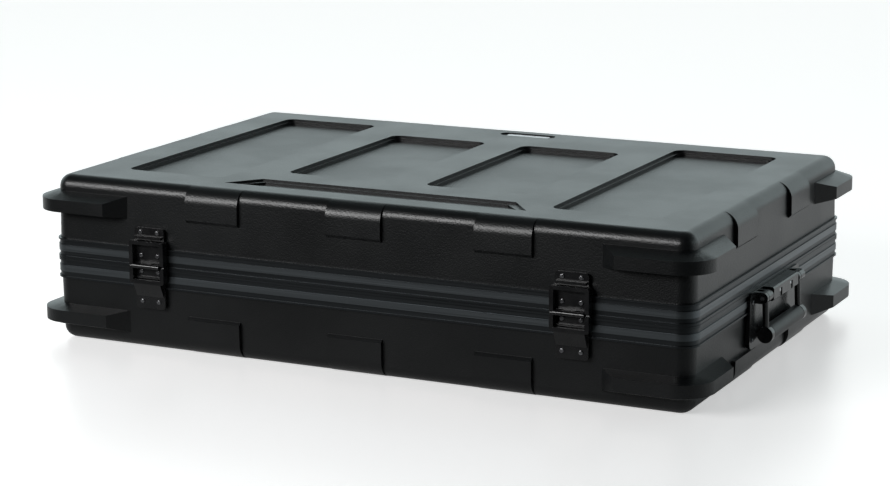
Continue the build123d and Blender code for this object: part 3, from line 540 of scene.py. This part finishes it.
at_side = number(
    tree,
    "MAXIMUM",
    number(
        tree,
        "DIVIDE",
        number(tree, "ABSOLUTE", spot["X"]),
        number(tree, "MULTIPLY", size["Pitch X"], 0.5),
    ),
    number(
        tree,
        "DIVIDE",
        number(tree, "ABSOLUTE", spot["Y"]),
        number(tree, "MULTIPLY", size["Pitch Y"], 0.5),
    ),
)
on_rim = number(
    tree,
    "MULTIPLY",
    number(tree, "GREATER_THAN", at_side, block_rim_share),
    number(tree, "GREATER_THAN", spot["Z"], 0.0),
)
drop = number(tree, "MULTIPLY", on_rim, number(tree, "MULTIPLY", size["Crown"], -1.0))
crowned = add_node(
    tree,
    "GeometryNodeSetPosition",
    Geometry=block.outputs["Mesh"],
    Offset=vector_of(tree, z=drop),
)
scatter = add_node(
    tree,
    "GeometryNodeInstanceOnPoints",
    Points=spread.outputs["Mesh"],
    Instance=crowned.outputs[0],
)
uneven = add_node(tree, "FunctionNodeRandomValue", data_type="FLOAT", Seed=size["Seed"])
uneven.inputs[2].default_value = -block_unevenness
uneven.inputs[3].default_value = 0.0
middle = number(tree, "SUBTRACT", size["Top"], number(tree, "MULTIPLY", block_height, 0.5))
raised = add_node(
    tree,
    "GeometryNodeTranslateInstances",
    Instances=scatter.outputs[0],
    Translation=vector_of(tree, z=number(tree, "ADD", middle, uneven.outputs[1])),
    Local_Space=False,
)
slab = add_node(
    tree,
    "GeometryNodeMeshCube",
    Size=vector_of(tree, size["Length"], size["Depth"], size["Uncut"]),
)
slab_middle = number(tree, "ADD", size["Bottom"], number(tree, "MULTIPLY", size["Uncut"], 0.5))
slab_placed = add_node(
    tree,
    "GeometryNodeTransform",
    Geometry=slab.outputs["Mesh"],
    Translation=vector_of(tree, z=slab_middle),
)
both = tree.nodes.new("GeometryNodeJoinGeometry")
tree.links.new(raised.outputs[0], both.inputs[0])
tree.links.new(slab_placed.outputs[0], both.inputs[0])
lead_out(tree, both.outputs[0], foam_grey, leave)
floor_foam = grown("diced_floor_foam", tree, floor_sizes, foam_grey)
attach(floor_foam, "base")
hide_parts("floor_foam")


# Wall foam: four strips of the same foam stand round the base, butted at the corners.
# Their top edges are soft, and each face waves a little, as foam cut with a hot wire does.
strip_depth = 0.024
strip_round = 0.003
strip_round_steps = 3
strip_edge_above = radians(40)
strip_crease_above = radians(50)
butt_gap = 0.0006
strip_cell = 0.012
strip_corner = 0.007
long_wave = 28.0
short_wave = 90.0
wave_depth = 0.0004


def foam_strip(low, high):
    """A closed strip of foam with rounded edges and slightly uneven faces."""
    form = bmesh.new()
    span = high - low
    bmesh.ops.create_cube(form, size=1.0)
    for axis, length in enumerate(span):
        count = max(1, round(length / strip_cell))
        across = [1.0 if other == axis else 0.0 for other in range(3)]
        for step in range(1, count):
            at = [step / count - 0.5 if other == axis else 0.0 for other in range(3)]
            bmesh.ops.bisect_plane(
                form,
                geom=form.verts[:] + form.edges[:] + form.faces[:],
                plane_co=at,
                plane_no=across,
            )
    for vert in form.verts:
        vert.co = [low[axis] + (vert.co[axis] + 0.5) * span[axis] for axis in range(3)]
    mesh = bpy.data.meshes.new("strip")
    form.to_mesh(mesh)
    form.free()
    strip = new_piece("strip", mesh)
    rounding = strip.modifiers.new("rounding", "BEVEL")
    rounding.width = strip_round
    rounding.segments = strip_round_steps
    rounding.angle_limit = strip_edge_above
    rounded = evaluated_mesh(strip)
    centre = (low + high) / 2
    across_strip = Vector((0, 1, 0) if span.x > span.y else (1, 0, 0))
    for vert in rounded.vertices:
        wave = noise.noise(vert.co * long_wave) + 0.5 * noise.noise(vert.co * short_wave)
        inwards = (centre - vert.co) * across_strip
        if inwards.length > 0:
            vert.co += inwards.normalized() * wave_depth * (1 + wave)
    return rounded


wall_low, wall_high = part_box("wall_foam")
front_inside = wall_low.y + strip_depth
back_inside = wall_high.y - strip_depth
strip_corners = (
    ((wall_low.x, wall_low.y), (wall_high.x, front_inside)),
    ((wall_low.x, back_inside), (wall_high.x, wall_high.y)),
    (
        (wall_low.x, front_inside + butt_gap),
        (wall_low.x + strip_depth, back_inside - butt_gap),
    ),
    (
        (wall_high.x - strip_depth, front_inside + butt_gap),
        (wall_high.x, back_inside - butt_gap),
    ),
)
strip_form = bmesh.new()
for low, high in strip_corners:
    strip_form.from_mesh(
        foam_strip(Vector((*low, wall_low.z)), Vector((*high, wall_high.z)))
    )
for vert in strip_form.verts:
    over_x = abs(vert.co.x) - (wall_high.x - strip_corner)
    over_y = abs(vert.co.y) - (wall_high.y - strip_corner)
    if over_x > 0 and over_y > 0:
        reach = (over_x**2 + over_y**2) ** 0.5
        if reach > strip_corner:
            scale = strip_corner / reach
            vert.co.x -= (over_x - over_x * scale) * (1 if vert.co.x > 0 else -1)
            vert.co.y -= (over_y - over_y * scale) * (1 if vert.co.y > 0 else -1)
wall_mesh = bpy.data.meshes.new("wall_foam_strips")
strip_form.to_mesh(wall_mesh)
strip_form.free()
wall_foam = new_piece("wall_foam_strips", wall_mesh)
paint(wall_foam, foam_grey)
for face in wall_mesh.polygons:
    face.use_smooth = True
wall_mesh.set_sharp_from_angle(angle=strip_crease_above)
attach(wall_foam, "base")
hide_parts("wall_foam")


# Lid foam: a convoluted pad, cut from a block that is squeezed between studded rollers.
# It is glued flat to the inside of the lid's top, peaks down.
peak_relief = 0.0115
peaks_long = 15
peaks_deep = 9
cells_per_peak = 10
peak_crease_above = radians(70)
lid_low, lid_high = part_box("lid_foam")
lid_span = lid_high - lid_low
lid_sizes = {
    "Length": lid_span.x,
    "Depth": lid_span.y,
    "Height": lid_span.z,
    "Bottom": lid_low.z,
    "Relief": peak_relief,
    "Pitch X": lid_span.x / peaks_long,
    "Pitch Y": lid_span.y / peaks_deep,
    "Columns": peaks_long * cells_per_peak + 1,
    "Rows": peaks_deep * cells_per_peak + 1,
}
tree, size, leave = geometry_tree("convoluted foam", lid_sizes)
pad = add_node(
    tree,
    "GeometryNodeMeshCube",
    Size=vector_of(tree, size["Length"], size["Depth"], size["Height"]),
    Vertices_X=size["Columns"],
    Vertices_Y=size["Rows"],
)
where = tree.nodes.new("GeometryNodeInputPosition")
spot = add_node(tree, "ShaderNodeSeparateXYZ", Vector=where.outputs[0]).outputs
turns_x = number(tree, "DIVIDE", spot["X"], size["Pitch X"])
turns_y = number(tree, "DIVIDE", spot["Y"], size["Pitch Y"])
wave_x = number(tree, "COSINE", number(tree, "MULTIPLY", turns_x, 2 * pi))
wave_y = number(tree, "COSINE", number(tree, "MULTIPLY", turns_y, 2 * pi))
waves = number(tree, "MULTIPLY", wave_x, wave_y)
hollow = number(tree, "ADD", 0.5, number(tree, "MULTIPLY", 0.5, waves))
below = number(tree, "LESS_THAN", spot["Z"], 0.0)
rise = number(tree, "MULTIPLY", below, number(tree, "MULTIPLY", hollow, size["Relief"]))
carved = add_node(
    tree,
    "GeometryNodeSetPosition",
    Geometry=pad.outputs["Mesh"],
    Offset=vector_of(tree, z=rise),
)
pad_middle = number(tree, "ADD", size["Bottom"], number(tree, "MULTIPLY", size["Height"], 0.5))
placed = add_node(
    tree,
    "GeometryNodeTransform",
    Geometry=carved.outputs[0],
    Translation=vector_of(tree, z=pad_middle),
)
smooth = add_node(tree, "GeometryNodeSetShadeSmooth", Geometry=placed.outputs[0])
lead_out(tree, smooth.outputs[0], foam_grey, leave)
lid_foam = grown("convoluted_lid_foam", tree, lid_sizes, foam_grey)
lid_foam.data.set_sharp_from_angle(angle=peak_crease_above)
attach(lid_foam, "lid")
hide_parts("lid_foam")


# Stay hinges: pressed and folded steel leaves, powder coated black after folding.
# The coat is satin, with a faint orange peel.
hinge_edge_round = 0.0008
powder_black, tree, shader, place = finish(
    "black powder coat", colour=(0.005, 0.005, 0.0055), roughness=0.24
)
mottle(tree, shader, place, scale=40.0, dark=(0.004, 0.004, 0.0044), light=(0.007, 0.007, 0.0075))
vary_gloss(tree, shader, place, scale=60.0, smooth=0.2, rough=0.28)
emboss(tree, shader, grain(tree, place, scale=700.0, detail=2.0), strength=0.22, depth=0.0002)
for side in ("left", "right"):
    soften(f"hinge_lid_leaf_{side}", "lid", powder_black, hinge_edge_round)
    soften(f"hinge_base_leaf_{side}", "base", powder_black, hinge_edge_round)


# Pins and rods: straight lengths of blackened drawn steel, in the knuckles and the handle plates.
# Fine lines from the drawing die run along the hinge and latch pins.
drawn_line_scale = (40.0, 3000.0, 3000.0)
steel_dark, tree, shader, place = finish(
    "blackened drawn steel", colour=(0.3, 0.3, 0.31), roughness=0.3, metallic=1.0
)
mottle(tree, shader, place, scale=200.0, dark=(0.24, 0.24, 0.25), light=(0.36, 0.36, 0.37))
drawn = add_node(tree, "ShaderNodeMapping", Vector=place, Scale=drawn_line_scale).outputs[0]
emboss(tree, shader, grain(tree, drawn, scale=1.0, detail=2.0), strength=0.2, depth=0.00003)
for side in ("left", "right"):
    for name in ("hinge_pin", "latch_pin", "handle_rod"):
        paint(nodes[f"{name}_{side}"], steel_dark)


# Rivets: domed steel, set from outside through each plate into the frame or the shell.
# Their heads are burnished by the setting tool, so they shine more than the plates.
rivet_black, tree, shader, place = finish(
    "burnished black rivet", colour=(0.16, 0.16, 0.17), roughness=0.16, metallic=0.8
)
mottle(tree, shader, place, scale=300.0, dark=(0.12, 0.12, 0.125), light=(0.22, 0.22, 0.23))
vary_gloss(tree, shader, place, scale=400.0, smooth=0.12, rough=0.2)
for name in (
    "hinge_lid_rivets",
    "hinge_base_rivets",
    "latch_lid_rivets",
    "latch_base_rivets",
    "handle_rivets_left",
    "handle_rivets_right",
):
    paint(nodes[name], rivet_black)


# Key latches: pressed steel keeper, hasp and lock plate on the far side, coated like the hinges.
# The key cylinders are plated brass, with a slot for the key and a short turning lobe.
keeper_edge_round = 0.0004
hasp_edge_round = 0.0005
lock_plate_edge_round = 0.0005
key_edge_round = 0.0003
plated, tree, shader, place = finish(
    "bright plated cylinder", colour=(0.6, 0.6, 0.62), roughness=0.14, metallic=1.0
)
mottle(tree, shader, place, scale=150.0, dark=(0.55, 0.55, 0.57), light=(0.65, 0.65, 0.67))
vary_gloss(tree, shader, place, scale=500.0, smooth=0.1, rough=0.2)
for side in ("left", "right"):
    lock_plate = f"latch_lock_plate_{side}"
    soften(f"latch_keeper_{side}", "lid", powder_black, keeper_edge_round)
    soften(
        f"latch_hasp_{side}", f"hasp_{side}", powder_black, hasp_edge_round
    )
    soften(lock_plate, "base", powder_black, lock_plate_edge_round)
for side in ("left", "right"):
    soften(f"key_cylinder_{side}", f"key_{side}", plated, key_edge_round)


# Handles: a pressed plate with a spring hood, a bent bail and two coil springs, black coated.
# The grip is moulded rubber over the bail's straight bar, with a fine leather grain.
handle_plate_edge_round = 0.0005
bail_edge_round = 0.0008
grip_edge_round = 0.0006
for side in ("left", "right"):
    handle_plate = f"handle_plate_{side}"
    bail = f"handle_bail_{side}"
    soften(handle_plate, "base", powder_black, handle_plate_edge_round)
    soften(bail, f"handle_{side}", powder_black, bail_edge_round)
spring_bright, tree, shader, place = finish(
    "spring steel", colour=(0.62, 0.62, 0.64), roughness=0.2, metallic=1.0
)
mottle(tree, shader, place, scale=500.0, dark=(0.5, 0.5, 0.52), light=(0.72, 0.72, 0.74))
for side in ("left", "right"):
    paint(nodes[f"handle_springs_{side}"], spring_bright)
grip_black, tree, shader, place = finish(
    "moulded grip rubber", colour=(0.014, 0.014, 0.015), roughness=0.5
)
mottle(tree, shader, place, scale=50.0, dark=(0.011, 0.011, 0.012), light=(0.02, 0.02, 0.021))
emboss(tree, shader, pebble(tree, place, scale=900.0), strength=0.4, depth=0.0002)
for side in ("left", "right"):
    soften(f"handle_grip_{side}", f"handle_{side}", grip_black, grip_edge_round)
